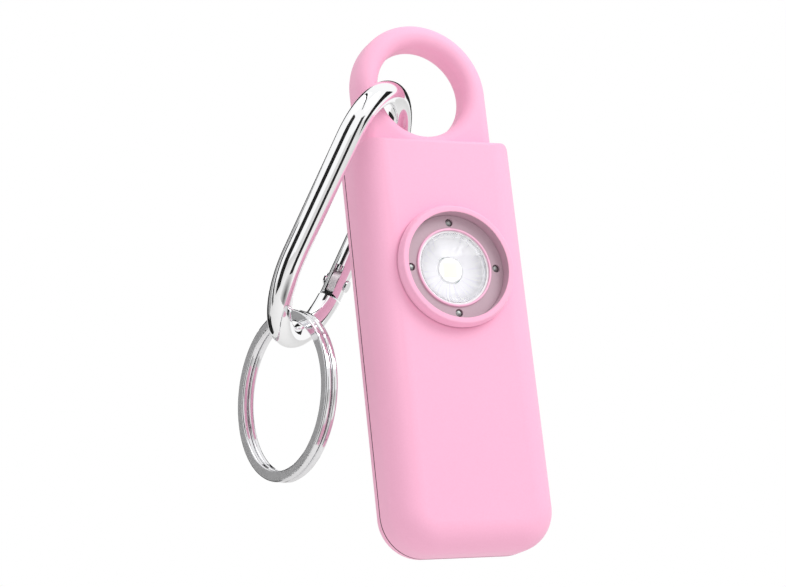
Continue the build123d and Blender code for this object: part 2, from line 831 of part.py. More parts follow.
plunger_foot = pivot + tang_radius + plunger_gap
with BuildPart() as gate_plunger:
    with BuildSketch(across_gate_arm(pivot + fork_depth)):
        Circle(plunger_radius)
    extrude(amount=plunger_length)
    with BuildSketch(across_gate_arm(plunger_foot)):
        Circle(slot_half - fork_clearance)
    extrude(amount=pivot + fork_depth - plunger_foot)
finish(gate_plunger.part, "gate_plunger")

spring_foot = pivot + fork_depth + plunger_length + spring_wire_radius + spring_end_gap
spring_length = gate_bore_length - plunger_length - 2 * (spring_wire_radius + spring_end_gap)
with BuildPart() as gate_spring:
    with BuildLine():
        coil = Helix(
            pitch=spring_length / spring_turns,
            height=spring_length,
            radius=spring_radius,
            center=across_gate_arm(spring_foot).origin,
            direction=oval.y_dir,
        )
    with BuildSketch(Plane(origin=coil @ 0, z_dir=coil % 0)):
        Circle(spring_wire_radius)
    sweep(path=coil, is_frenet=True)
finish(gate_spring.part, "gate_spring")

# Split ring
# Flat wire wound into two turns that lie on each other. One step carries the
# wire from the front turn to the back one, beside the two cut ends.
split_inner_radius = split_outer_radius - split_band_width
split_cross_radius = split_inner_radius - wire_radius - split_cross_gap
split_turn = Rot(0, 0, split_turn_angle) * Rot(0, -split_tilt, 0) * Rot(0, 90, 0) * Rot(0, 0, 90)
split_cross = (Pos(hook_centre) * hook_turn * Pos(*on_bottom_bend(split_bend_angle), 0)).position
split_reach = Vector(
    split_cross_radius * math.cos(math.radians(split_cross_angle)),
    split_cross_radius * math.sin(math.radians(split_cross_angle)),
    0,
)
split_centre = split_cross - (split_turn * Pos(split_reach)).position
split_thickness = 2 * split_turn_thickness + split_turn_gap
half_thickness = split_thickness / 2
step_plane = Plane(Pos(split_centre) * split_turn * Rot(0, 0, split_step_angle))
step_middle = (split_inner_radius + split_outer_radius) / 2
step_side = Plane(origin=step_plane.origin, x_dir=step_plane.x_dir, z_dir=-step_plane.y_dir)
with BuildPart() as wire_step:
    with BuildSketch(step_side):
        Polygon(
            (-split_step_half_width, -half_thickness),
            (split_step_half_width, half_thickness - split_turn_thickness),
            (split_step_half_width, half_thickness),
            (-split_step_half_width, split_turn_thickness - half_thickness),
            align=None,
        )
    extrude(amount=-split_outer_radius)
    with BuildSketch(step_plane.offset(-half_thickness)):
        Circle(split_outer_radius)
        Circle(split_inner_radius, mode=Mode.SUBTRACT)
    extrude(amount=split_thickness, mode=Mode.INTERSECT)

with BuildPart() as split_ring:
    for turn_face in (-half_thickness, half_thickness - split_turn_thickness):
        with BuildSketch(step_plane.offset(turn_face)):
            Circle(split_outer_radius)
            Circle(split_inner_radius, mode=Mode.SUBTRACT)
        extrude(amount=split_turn_thickness)
    with BuildSketch(step_plane.offset(-half_thickness)):
        with Locations((0, step_middle)):
            Rectangle(2 * split_step_half_width, 2 * split_band_width)
    extrude(amount=split_thickness, mode=Mode.SUBTRACT)
    fillet(split_ring.edges().filter_by(GeomType.CIRCLE), split_edge)
    add(wire_step.part)
finish(split_ring.part, "split_ring")
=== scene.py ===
import math

import bpy
from mathutils import Euler, Matrix, Vector
from mathutils.kdtree import KDTree


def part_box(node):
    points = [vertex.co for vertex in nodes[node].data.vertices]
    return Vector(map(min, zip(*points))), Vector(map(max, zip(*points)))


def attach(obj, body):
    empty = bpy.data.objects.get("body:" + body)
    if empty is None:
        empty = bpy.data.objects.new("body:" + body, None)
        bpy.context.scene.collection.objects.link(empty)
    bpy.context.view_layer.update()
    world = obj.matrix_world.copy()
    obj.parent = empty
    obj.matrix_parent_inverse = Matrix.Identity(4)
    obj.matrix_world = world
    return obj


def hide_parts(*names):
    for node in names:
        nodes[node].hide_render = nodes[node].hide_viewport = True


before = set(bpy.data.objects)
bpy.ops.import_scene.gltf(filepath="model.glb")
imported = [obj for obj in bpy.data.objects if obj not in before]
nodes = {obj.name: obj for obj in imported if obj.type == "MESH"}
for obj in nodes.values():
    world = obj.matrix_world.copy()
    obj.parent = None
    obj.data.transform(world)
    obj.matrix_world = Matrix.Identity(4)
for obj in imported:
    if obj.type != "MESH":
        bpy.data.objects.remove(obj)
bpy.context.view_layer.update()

# Viewpoint
# The photograph looks up at the alarm from below its base and from its left, through a
# long lens, so the sides stay nearly parallel and the left side of the case shows.
mm = 0.001
camera_place = Vector((-162.577, -319.822, -131.756)) * mm
camera_angles = (105.0686, 5.9777, -24.0495)
camera_lens = 98.285
sensor_width = 36.0
nearest_seen = 10 * mm
farthest_seen = 10.0

bpy.ops.object.camera_add(location=camera_place)
camera = bpy.context.object
camera.name = "photo_camera"
camera.rotation_euler = Euler([math.radians(angle) for angle in camera_angles])
camera.data.lens = camera_lens
camera.data.sensor_width = sensor_width
camera.data.sensor_fit = "HORIZONTAL"
camera.data.clip_start = nearest_seen
camera.data.clip_end = farthest_seen
bpy.context.scene.camera = camera
bpy.context.scene.view_settings.view_transform = "Standard"


# Studio
# A white room with a pale floor well below the hanging alarm. One large soft light stands
# in front to the right and a weak one above. Dark cards give the chrome its black lines.
def linear(hex_colour):
    """An sRGB hex colour as the linear colour that shaders take."""
    parts = [int(hex_colour[start:start + 2], 16) / 255 for start in (1, 3, 5)]
    return [p / 12.92 if p <= 0.04045 else ((p + 0.055) / 1.055) ** 2.4 for p in parts] + [1.0]


def add_node(tree, kind, settings=None, links=None):
    """Add a shader node, set its sockets or properties, and link its inputs."""
    node = tree.nodes.new(kind)
    for name, value in (settings or {}).items():
        if isinstance(name, int) or name in node.inputs:
            node.inputs[name].default_value = value
        else:
            setattr(node, name, value)
    for name, source in (links or {}).items():
        tree.links.new(source, node.inputs[name])
    return node


def ramp(tree, value, low, high, at_low, at_high):
    """The socket that goes from at_low to at_high as a value goes from low to high."""
    return add_node(
        tree, "ShaderNodeMapRange",
        {"From Min": low, "From Max": high, "To Min": at_low, "To Max": at_high}, {"Value": value},
    ).outputs["Result"]


def object_place(tree):
    """The socket that gives each point's place on the object."""
    return add_node(tree, "ShaderNodeTexCoord").outputs["Object"]


def distance_from(tree, point):
    """The socket that gives the distance from one point of the object."""
    return add_node(
        tree, "ShaderNodeVectorMath", {"operation": "DISTANCE", 1: point},
        {0: object_place(tree)},
    ).outputs["Value"]


def shader_inputs(tree):
    """The sockets of a material's surface shader."""
    return tree.nodes["Principled BSDF"].inputs


def new_material(name, hex_colour, roughness, metallic=0.0, settings=None):
    """A material with one surface shader, whose other sockets come in settings."""
    made = bpy.data.materials.new(name)
    made.use_nodes = True
    sockets = shader_inputs(made.node_tree)
    sockets["Base Color"].default_value = linear(hex_colour)
    sockets["Roughness"].default_value = roughness
    sockets["Metallic"].default_value = metallic
    for socket, value in (settings or {}).items():
        sockets[socket].default_value = value
    return made


def stage_plane(name, place, width, height, facing, along, hex_colour):
    """A flat card or floor that isn't part of the object."""
    paint_roughness = 0.9
    bpy.ops.object.select_all(action="DESELECT")
    bpy.ops.mesh.primitive_plane_add(size=1.0)
    card = bpy.context.object
    card.name = name
    normal = facing.normalized()
    up = (along - along.dot(normal) * normal).normalized()
    across = up.cross(normal)
    turn = Matrix((across, up, normal)).transposed().to_4x4()
    card.data.transform(Matrix.Translation(place) @ turn @ Matrix.Diagonal((width, height, 1, 1)))
    card.data.materials.append(new_material(name + "_paint", hex_colour, paint_roughness))
    return card


object_middle = Vector((-8.0, 3.0, -36.0)) * mm
floor_height = -0.30
floor_size = 6.0
up_axis = Vector((0, 0, 1))
back_axis = Vector((0, 1, 0))
stage_plane(
    "floor", floor_height * up_axis, floor_size, floor_size, up_axis, back_axis, "#F2F1F0"
)

# The walls look and mirror white, but light the object a little less than they show.
wall_light_held_back = 0.19
world = bpy.data.worlds.new("white_room")
world.use_nodes = True
walls = world.node_tree.nodes["Background"]
walls.inputs["Color"].default_value = linear("#FFFFFF")
ray = add_node(world.node_tree, "ShaderNodeLightPath")
wall_level = ramp(
    world.node_tree, ray.outputs["Is Diffuse Ray"], 0.0, 1.0, 1.0, 1.0 - wall_light_held_back
)
world.node_tree.links.new(wall_level, walls.inputs["Strength"])
bpy.context.scene.world = world

# Long cards stand round the hook's arm, each with a turn from the view in degrees, a width
# and a shift along the arm. The others face the hook's bends and the split ring, each with
# its direction from the object, its long direction, width, length and tone.
card_black = "#050505"
arm_axis = Vector((0.4123, -0.3092, 0.8570))
to_camera = (camera_place - object_middle).normalized()
card_distance = 0.40
arm_card_length = 0.80
arm_cards = {
    "card_left": (-43.0, 0.24, 0.0),
    "card_right": (41.0, 0.17, 0.0),
    "card_low": (-92.0, 0.10, -0.285),
    "card_behind": (-147.0, 0.22, 0.0),
}
other_cards = {
    "card_right_high": ((0.93, -0.27, 0.15), (0.07, 0.41, 0.60), 0.16, 0.31, card_black),
    "card_far_right": ((0.629, 0.633, 0.455), (-0.485, -0.364, 0.885), 0.24, 0.24, card_black),
    "card_overhead": ((-0.03, -0.30, 0.95), (0.06, -1.04, -0.38), 0.025, 0.53, card_black),
    "card_ring": ((-0.63, 0.74, 0.25), (0.0, 0.0, 1.0), 0.20, 0.40, "#A2A2A2"),
    "card_under": ((0.07, -0.42, -0.90), (1.0, 0.0, 0.0), 0.38, 0.38, "#202020"),
}
share_of_floor_height = 0.8
cards = []
for card_name, (turn, card_width, card_shift) in arm_cards.items():
    direction = Matrix.Rotation(math.radians(turn), 3, arm_axis) @ to_camera
    card_place = object_middle + card_distance * direction + card_shift * arm_axis
    cards.append(stage_plane(
        card_name, card_place, card_width, arm_card_length, -direction, arm_axis, card_black
    ))
for card_name, (direction, along, card_width, card_length, card_tone) in other_cards.items():
    direction = Vector(direction).normalized()
    distance = card_distance
    if direction.z < 0:
        distance = min(card_distance, share_of_floor_height * floor_height / direction.z)
    cards.append(stage_plane(
        card_name, object_middle + distance * direction, card_width, card_length,
        -direction, Vector(along), card_tone,
    ))

# The card underneath fades out from its middle, which gives the hook's bend a soft grey.
fade_reach = 0.19
fade_strength = 0.95
under_card = cards[-1]
under_corners = [vertex.co for vertex in under_card.data.vertices]
under_middle = sum(under_corners, Vector()) / len(under_corners)
tree = under_card.data.materials[0].node_tree
fading = ramp(tree, distance_from(tree, under_middle), 0.0, fade_reach, fade_strength, 0.0)
tree.links.new(fading, shader_inputs(tree)["Alpha"])
for card in cards:
    card.visible_camera = False
    card.visible_diffuse = False
    card.visible_shadow = False

# Each light has its place, size and power.
lights = {
    "key_light": (Vector((300.0, -400.0, 330.0)) * mm, 0.34, 1.75),
    "top_light": (Vector((-120.0, -60.0, 420.0)) * mm, 0.30, 0.2),
}
for light_name, (light_place, light_size, light_power) in lights.items():
    bpy.ops.object.light_add(type="AREA", location=light_place)
    light = bpy.context.object
    light.name = light_name
    light.data.shape = "SQUARE"
    light.data.size = light_size
    light.data.energy = light_power
    light.rotation_euler = (light_place - object_middle).to_track_quat("Z", "Y").to_euler()
    light.visible_camera = False


# Case shells and pull pin
# All three are injection moulded in pink ABS with a soft-touch coating, so they are matt
# with a faint velvet edge. The shells are screwed together from the back, and the pin's
# plug is pressed into the slot in their top.
def worked_material(name, dark, light, roughness, grain, metallic=0.0, relief=0.0,
                    stretch=(1, 1, 1), settings=None):
    """A surface whose tone, roughness and relief follow one grain. roughness is a range."""
    grain_detail = 3.0
    relief_depth = 0.05 * mm
    made = new_material(name, light, roughness[0], metallic, settings)
    tree = made.node_tree
    sockets = shader_inputs(tree)
    drawn = add_node(
        tree, "ShaderNodeMapping", {"Scale": stretch}, {"Vector": object_place(tree)}
    )
    speckle = add_node(
        tree, "ShaderNodeTexNoise", {"Scale": 1 / grain, "Detail": grain_detail},
        {"Vector": drawn.outputs["Vector"]},
    ).outputs["Fac"]
    tone = add_node(
        tree, "ShaderNodeMix", {"data_type": "RGBA", 6: linear(dark), 7: linear(light)},
        {"Factor": speckle},
    )
    tree.links.new(tone.outputs[2], sockets["Base Color"])
    tree.links.new(ramp(tree, speckle, 0.0, 1.0, *roughness), sockets["Roughness"])
    if relief:
        bump = add_node(
            tree, "ShaderNodeBump", {"Strength": relief, "Distance": relief_depth},
            {"Height": speckle},
        )
        tree.links.new(bump.outputs["Normal"], sockets["Normal"])
    return made


def calculate(tree, operation, *values):
    """The socket that gives the result of a calculation on sockets and numbers."""
    numbers = {place: value for place, value in enumerate(values) if isinstance(value, float)}
    sockets = {place: value for place, value in enumerate(values) if place not in numbers}
    return add_node(
        tree, "ShaderNodeMath", {"operation": operation, **numbers}, sockets
    ).outputs["Value"]


def depth_of(tree):
    """The socket that gives each point's depth, from front to back."""
    return add_node(
        tree, "ShaderNodeSeparateXYZ", links={"Vector": object_place(tree)}
    ).outputs["Y"]


def lay_over(tree, hex_colour, share):
    """Lay one more colour over a material's base colour, as far as the share says."""
    base = shader_inputs(tree)["Base Color"]
    both = add_node(
        tree, "ShaderNodeMix", {"data_type": "RGBA", 7: linear(hex_colour)},
        {"Factor": share, 6: base.links[0].from_socket},
    )
    tree.links.new(both.outputs[2], base)


def finish_node(name, made):
    """Give a solid of the frame its finished material."""
    nodes[name].data.materials.clear()
    nodes[name].data.materials.append(made)


# The spark-eroded mould leaves a grain of about 0.05 mm, drawn at 0.3 mm so that it shows.
case_grain = 0.3 * mm
case_material = worked_material(
    "soft_touch_abs_moulded", "#FAB4D2", "#FFBCDA", (0.56, 0.68), case_grain, relief=0.05,
    settings={"Sheen Weight": 0.2, "Sheen Roughness": 0.45, "Specular IOR Level": 0.35},
)
finish_node("pull_pin", case_material)

# The parting groove is darkened with painted shade, for the shade deep in it. The dark band
# is a little wider than the groove and takes in the rear shell's lip.
shell_low, shell_high = (Vector(corner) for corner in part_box("front_shell"))
groove_width = 0.25 * mm
groove_middle = shell_high.y - groove_width / 2
groove_reach = 0.55 * groove_width
shell_material = case_material.copy()
shell_material.name = "soft_touch_abs_with_painted_groove_shade"
tree = shell_material.node_tree
# Painted shade: a dark colour laid over the base colour in the parting groove.
groove_painted_shade = calculate(tree, "COMPARE", depth_of(tree), groove_middle, groove_reach)
lay_over(tree, "#4A3A42", groove_painted_shade)
finish_node("rear_shell", shell_material)

# The corner round the bezel's foot is darkened with painted shade, and the bezel's bore, as far
# as its rounded edge, is painted a darker mauve as painted shade for its shadowed inner wall.
grille_low, grille_high = (Vector(corner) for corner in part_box("grille_plate"))
torch_axis = (grille_low + grille_high) / 2
bezel_bore = 9.42 * mm
bezel_foot_drawn_in = 10.62 * mm
bezel_rise = 2.0 * mm
foot_shade_width = 0.35 * mm
foot_shade_share = 0.45
foot_shade_lift = 0.03 * mm
case_front = shell_low.y + bezel_rise


def from_torch_axis(tree):
    """The socket that gives the distance from the torch's axis."""
    across = add_node(
        tree, "ShaderNodeMapping",
        {"Location": (-torch_axis.x, 0, -torch_axis.z), "Scale": (1, 0, 1)},
        {"Vector": object_place(tree)},
    )
    return add_node(
        tree, "ShaderNodeVectorMath", {"operation": "LENGTH"}, {0: across.outputs["Vector"]}
    ).outputs["Value"]


front_material = shell_material.copy()
front_material.name = "soft_touch_abs_with_painted_bezel_shade"
tree = front_material.node_tree
# Painted shade: a dark ring round the bezel's foot, where the corner lies in shade.
foot_painted_shade = ramp(
    tree, from_torch_axis(tree), bezel_foot_drawn_in, bezel_foot_drawn_in + foot_shade_width,
    foot_shade_share, 0.0,
)
behind_flank = calculate(tree, "GREATER_THAN", depth_of(tree), case_front - foot_shade_lift)
lay_over(tree, "#8A5C72", calculate(tree, "MULTIPLY", foot_painted_shade, behind_flank))
# Painted shade: the bezel's bore is painted a darker mauve for its shadowed inner wall.
bore_painted_shade = calculate(tree, "LESS_THAN", from_torch_axis(tree), bezel_bore)
lay_over(tree, "#C9A3B4", bore_painted_shade)
finish_node("front_shell", front_material)


# The bezel's flank is nearly straight, so its foot is drawn in on a merged copy of the
# shell, which keeps the shell's own facings. The foot crosses onto the rounded edges.
def select_only(piece):
    """Select one piece, and make it the active one."""
    bpy.ops.object.select_all(action="DESELECT")
    piece.select_set(True)
    bpy.context.view_layer.objects.active = piece


def from_axis(point):
    """How far a point lies from the torch's axis, across and up."""
    return Vector((point.x - torch_axis.x, 0, point.z - torch_axis.z))


bezel_foot = 11.2 * mm
bezel_crown = 10.3 * mm
foot_depth = 0.5 * mm
flank_lean = 0.11
steepest_flank = 0.5
shell_edge = 4.8 * mm
near = 0.02 * mm
merge_distance = 0.001 * mm
flat_half = shell_high.x - shell_edge
front_moulding = bpy.data.objects.new("front_shell_moulding", nodes["front_shell"].data.copy())
bpy.context.collection.objects.link(front_moulding)
select_only(front_moulding)
mesh = front_moulding.data
old_faces = KDTree(len(mesh.polygons))
old_corners = []
for face in mesh.polygons:
    old_faces.insert(face.center, face.index)
    old_corners.append([
        (mesh.vertices[number].co.copy(), mesh.corner_normals[corner].vector.copy())
        for number, corner in zip(face.vertices, face.loop_indices)
    ])
old_faces.balance()
bpy.ops.object.mode_set(mode="EDIT")
bpy.ops.mesh.select_mode(type="VERT")
bpy.ops.mesh.select_all(action="SELECT")
bpy.ops.mesh.remove_doubles(threshold=merge_distance)
bpy.ops.object.mode_set(mode="OBJECT")
facings = []
for face in mesh.polygons:
    found = old_corners[old_faces.find(face.center)[1]]
    for number in face.vertices:
        point = mesh.vertices[number].co
        facings.append(min(found, key=lambda old: (old[0] - point).length)[1])
for vertex in mesh.vertices:
    reach = from_axis(vertex.co)
    if abs(reach.length - bezel_foot) < near and vertex.co.y < case_front + foot_depth:
        foot = torch_axis + reach * bezel_foot_drawn_in / reach.length
        over_edge = max(0.0, abs(foot.x) - flat_half)
        fall_away = shell_edge - math.sqrt(shell_edge ** 2 - over_edge ** 2)
        vertex.co = (foot.x, case_front + fall_away, foot.z)
for face in mesh.polygons:
    reaches = [from_axis(mesh.vertices[number].co) for number in face.vertices]
    lengths = [reach.length for reach in reaches]
    on_flank = min(lengths) > bezel_crown and max(lengths) < bezel_foot_drawn_in + near
    if on_flank and abs(face.normal.y) < steepest_flank:
        for corner, reach in zip(face.loop_indices, reaches):
            facings[corner] = (reach.normalized() - flank_lean * back_axis).normalized()
mesh.normals_split_custom_set(facings)
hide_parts("front_shell")
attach(front_moulding, "alarm_case")

# Case screws
# Four pan-head screws of zinc-plated steel, each with a cross recess. They are driven
# from the back into the front shell's bosses, a little below the surface.
zinc_material = worked_material(
    "zinc_plated_steel", "#8E9196", "#B4B7BC", (0.26, 0.46), 0.4 * mm, metallic=1.0
)
finish_node("case_screws", zinc_material)

# Grille plate
# One moulding in mauve ABS, smoother than the case, which closes the bezel from behind.
# Its floor has four sound holes, and its raised rim round the torch is a lighter pink.
rim_edge = 7.02 * mm
rim_blend = 0.06 * mm
grille_material = worked_material(
    "mauve_abs_moulded", "#BEA3AF", "#C7ACB8", (0.36, 0.5), case_grain, relief=0.04
)
tree = grille_material.node_tree
on_rim = ramp(
    tree, from_torch_axis(tree), rim_edge - rim_blend, rim_edge + rim_blend, 1.0, 0.0
)
lay_over(tree, "#FFC4E0", on_rim)
finish_node("grille_plate", grille_material)

# A dished disc of steel gauze lies in each sound hole and keeps dust off the sounder. Its
# dish is given as shares of the radius and rises in millimetres.
rim_rise = 0.35 * mm
hole_place = 8.04 * mm
gauze_radius = 0.66 * mm
gauze_thickness = 0.08 * mm
gauze_drop = 0.25 * mm
gauze_dish = ((0.92, 0.08), (0.72, 0.16), (0.40, 0.23))
gauze_sides = 32
gauze_smooth_below = math.radians(40)
quarter_turn = math.radians(90)
gauze_back = grille_low.y + rim_rise + gauze_drop + gauze_dish[-1][1] * mm
gauze_middle = Vector((torch_axis.x, gauze_back, torch_axis.z + hole_place))
gauze = worked_material(
    "steel_gauze_woven", "#6C6F6E", "#B9BCBB", (0.32, 0.5), 0.25 * mm, metallic=1.0, relief=0.4
)
bpy.ops.object.select_all(action="DESELECT")
bpy.ops.mesh.primitive_circle_add(
    vertices=gauze_sides, radius=gauze_radius, fill_type="NGON", rotation=(quarter_turn, 0, 0),
    location=gauze_middle,
)
screen = bpy.context.object
screen.name = "sound_gauze_top"
bpy.ops.object.transform_apply(location=True, rotation=True, scale=True)
bpy.ops.object.mode_set(mode="EDIT")
bpy.ops.mesh.select_mode(type="FACE")
bpy.ops.mesh.select_all(action="SELECT")
bpy.ops.mesh.extrude_region_move(TRANSFORM_OT_translate={"value": (0, -gauze_thickness, 0)})
last_share, last_rise = 1.0, 0.0
for share, rise in gauze_dish:
    step_forward = (0, (last_rise - rise) * mm, 0)
    bpy.ops.mesh.extrude_region_move(TRANSFORM_OT_translate={"value": step_forward})
    bpy.ops.transform.resize(
        value=(share / last_share, 1, share / last_share), center_override=gauze_middle
    )
    last_share, last_rise = share, rise
bpy.ops.mesh.select_all(action="SELECT")
bpy.ops.mesh.normals_make_consistent(inside=False)
bpy.ops.object.mode_set(mode="OBJECT")
bpy.ops.object.shade_smooth_by_angle(angle=gauze_smooth_below)
screen.data.materials.append(gauze)
screens = [screen]
for name, quarter_turns in (("left", 1), ("bottom", 2), ("right", 3)):
    select_only(screen)
    bpy.ops.object.duplicate()
    other = bpy.context.object
    other.name = "sound_gauze_" + name
    turn = Matrix.Rotation(-quarter_turn * quarter_turns, 4, "Y")
    centre = Vector((torch_axis.x, 0, torch_axis.z))
    other.data.transform(Matrix.Translation(centre) @ turn @ Matrix.Translation(-centre))
    screens.append(other)
for piece in screens:
    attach(piece, "alarm_case")

# Torch reflector
# A moulded cup with radial flutes, plated in a vacuum so that it mirrors the light. It is
# pressed into the grille plate, and its lit look is a painted glow, brightest round the light at
# its middle.
cup_low, cup_high = (Vector(corner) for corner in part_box("reflector_cup"))
cup_outer = (cup_high.x - cup_low.x) / 2
cup_wall = 0.35 * mm
lens_seat = 0.5 * mm
bowl_floor = 2.42 * mm
floor_thickness = 0.5 * mm
flute_count = 44
flute_depth_share = 0.03
bowl_steps = 6
cup_smooth_below = math.radians(20)

# The rings run from the outer edge over the lens's seat and down the bowl to the back,
# each with its radius and depth. The flutes lie between the bowl's mouth and its floor.
cup_bore = cup_outer - cup_wall
bowl_mouth = cup_bore - cup_wall
bowl_depth = cup_high.y - floor_thickness - cup_low.y - lens_seat
bowl_rings = []
for step in range(1, bowl_steps + 1):
    turn = quarter_turn * step / bowl_steps
    bowl_rings.append((
        bowl_floor + (bowl_mouth - bowl_floor) * math.cos(turn),
        cup_low.y + lens_seat + bowl_depth * math.sin(turn),
    ))
rings = [(cup_outer, cup_low.y), (cup_bore, cup_low.y), (cup_bore, cup_low.y + lens_seat)]
first_fluted = len(rings)
last_fluted = first_fluted + bowl_steps
rings += [(bowl_mouth, cup_low.y + lens_seat)] + bowl_rings
rings += [(bowl_floor, cup_high.y), (cup_outer, cup_high.y)]

bpy.ops.object.select_all(action="DESELECT")
bpy.ops.mesh.primitive_circle_add(
    vertices=2 * flute_count, radius=rings[0][0], rotation=(quarter_turn, 0, 0),
    location=(torch_axis.x, rings[0][1], torch_axis.z),
)
reflector = bpy.context.object
reflector.name = "reflector_fluted_cup"
bpy.ops.object.transform_apply(location=True, rotation=True, scale=True)
bpy.ops.object.mode_set(mode="EDIT")
bpy.ops.mesh.select_mode(type="VERT")
bpy.ops.mesh.select_all(action="SELECT")
for index in range(1, len(rings)):
    (old_radius, old_depth), (new_radius, new_depth) = rings[index - 1], rings[index]
    ratio = new_radius / old_radius
    bpy.ops.mesh.extrude_region_move()
    bpy.ops.transform.resize(
        value=(ratio, 1, ratio), center_override=(torch_axis.x, old_depth, torch_axis.z)
    )
    bpy.ops.transform.translate(value=(0, new_depth - old_depth, 0))
    if index in (first_fluted, last_fluted):
        # Every second point of the ring is drawn in at the mouth, and let out at the floor.
        bpy.ops.object.mode_set(mode="OBJECT")
        ring = [vertex for vertex in reflector.data.vertices if vertex.select]
        numbers = [vertex.index for vertex in ring]
        for vertex in ring:
            reach = from_axis(vertex.co)
            flute = round(math.atan2(reach.z, reach.x) / math.pi * flute_count)
            vertex.select = flute % 2 == 0
        bpy.ops.object.mode_set(mode="EDIT")
        drawn_in = 1 - flute_depth_share
        share = drawn_in if index == first_fluted else 1 / drawn_in
        bpy.ops.transform.resize(
            value=(share, 1, share), center_override=(torch_axis.x, new_depth, torch_axis.z)
        )
        bpy.ops.object.mode_set(mode="OBJECT")
        for number in numbers:
            reflector.data.vertices[number].select = True
        bpy.ops.object.mode_set(mode="EDIT")
bpy.ops.mesh.select_all(action="DESELECT")
bpy.ops.mesh.select_non_manifold()
bpy.ops.mesh.bridge_edge_loops()
bpy.ops.mesh.select_all(action="SELECT")
bpy.ops.mesh.normals_make_consistent(inside=False)
bpy.ops.object.mode_set(mode="OBJECT")
bpy.ops.object.shade_smooth_by_angle(angle=cup_smooth_below)

# The light in the plating is painted on as a glow, which falls off outwards in faint radial
# streaks.
cup_painted_glow = 0.6
painted_glow_at_edge = 0.5
painted_glow_fall_power = 3.0
streak_count = 46.0
streak_detail = 3.0
streak_dark, streak_bright = 0.3, 0.7
faintest_streak = 0.72
plated_material = worked_material(
    "vacuum_plated_aluminium_painted_glow", "#C2C0C3", "#CECDD0", (0.5, 0.6), 0.5 * mm, metallic=0.5,
    settings={"Emission Strength": cup_painted_glow},
)
tree = plated_material.node_tree
facing_front = add_node(
    tree, "ShaderNodeMapping",
    {"Location": (-torch_axis.x, torch_axis.z, 0), "Rotation": (quarter_turn, 0, 0),
     "Scale": (1, 0, 1)},
    {"Vector": object_place(tree)},
)
angle = add_node(
    tree, "ShaderNodeTexGradient", {"gradient_type": "RADIAL"},
    {"Vector": facing_front.outputs["Vector"]},
)
streak = add_node(
    tree, "ShaderNodeTexNoise",
    {"noise_dimensions": "1D", "Scale": 1.0, "Detail": streak_detail},
    {"W": calculate(tree, "MULTIPLY", angle.outputs["Fac"], streak_count)},
)
outwards = ramp(tree, from_torch_axis(tree), bowl_floor, cup_bore, 0.0, 1.0)
fall = calculate(tree, "POWER", outwards, painted_glow_fall_power)
level = calculate(
    tree, "MULTIPLY", ramp(tree, fall, 0.0, 1.0, 1.0, painted_glow_at_edge),
    ramp(tree, streak.outputs["Fac"], streak_dark, streak_bright, faintest_streak, 1.0),
)
# Painted light: the glow's colour goes into the emission, standing in for reflected light.
glow = add_node(
    tree, "ShaderNodeMix", {"data_type": "RGBA", 6: linear("#101010"), 7: linear("#FFFFFF")},
    {"Factor": level},
)
tree.links.new(glow.outputs[2], shader_inputs(tree)["Emission Color"])
reflector.data.materials.append(plated_material)
finish_node("reflector_cup", plated_material)
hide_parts("reflector_cup")
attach(reflector, "alarm_case")

# Torch light and lens
# The light is a yellow phosphor square in a white ceramic ring on its own small board. A
# domed window of clear polycarbonate lies on the cup's ledge in front of it.
lens_wave = 3 * mm
lens_roughness = 0.03
lens_clearest, lens_dullest = 0.01, 0.06
lens_material = new_material(
    "polycarbonate_clear_moulded", "#FCFCFF", lens_roughness,
    settings={"Transmission Weight": 1.0, "IOR": 1.38},
)
tree = lens_material.node_tree
waves = add_node(
    tree, "ShaderNodeTexNoise", {"Scale": 1 / lens_wave, "Detail": 1.0},
    {"Vector": object_place(tree)},
)
wavy = ramp(tree, waves.outputs["Fac"], 0.0, 1.0, lens_clearest, lens_dullest)
tree.links.new(wavy, shader_inputs(tree)["Roughness"])
finish_node("front_lens", lens_material)

# The chip glows as the lamp it is. The ceramic ring's glow is painted light, and its edge glows
# less, a painted shade that shows as a thin grey outline.
ring_painted_glow = 0.55
ring_painted_glow_at_edge = 0.15
ring_edge_start = 2.0 * mm
ring_edge_end = 2.2 * mm
chip_glow = 0.85
ceramic_white = worked_material(
    "led_ceramic_fired_painted_glow", "#F0F0F0", "#F8F8F8", (0.4, 0.55), 0.2 * mm,
    settings={"Emission Color": linear("#FFFFFF")},
)
tree = ceramic_white.node_tree
# Painted light on the ceramic ring, with painted shade at its edge.
ring_painted_light = ramp(
    tree, from_torch_axis(tree), ring_edge_start, ring_edge_end, ring_painted_glow, ring_painted_glow_at_edge
)
tree.links.new(ring_painted_light, shader_inputs(tree)["Emission Strength"])
finish_node("led_base", ceramic_white)
phosphor = worked_material(
    "led_phosphor_gel", "#FFEE96", "#FFF3AE", (0.2, 0.35), 0.15 * mm,
    settings={"Emission Color": linear("#FFFFE4"), "Emission Strength": chip_glow},
)
finish_node("led_emitter", phosphor)

# Sounder
# A nickel-plated brass disc carries a fired and silvered ceramic layer. A black ring glued
# to the back of the grille plate holds it by its edge, so that it can drum.
sounder_disc = worked_material(
    "nickel_plated_brass_rolled", "#A5A6A6", "#BFC0C0", (0.22, 0.4), 0.6 * mm, metallic=1.0,
    stretch=(0.15, 1, 1),
)
silvered = worked_material(
    "silvered_ceramic", "#D9D6CB", "#E9E7DE", (0.45, 0.6), 0.3 * mm
)
black_abs = worked_material(
    "black_abs_moulded", "#141416", "#202023", (0.4, 0.58), case_grain, relief=0.05
)
finish_node("piezo_disc", sounder_disc)
finish_node("piezo_ceramic", silvered)
finish_node("sounder_ring", black_abs)

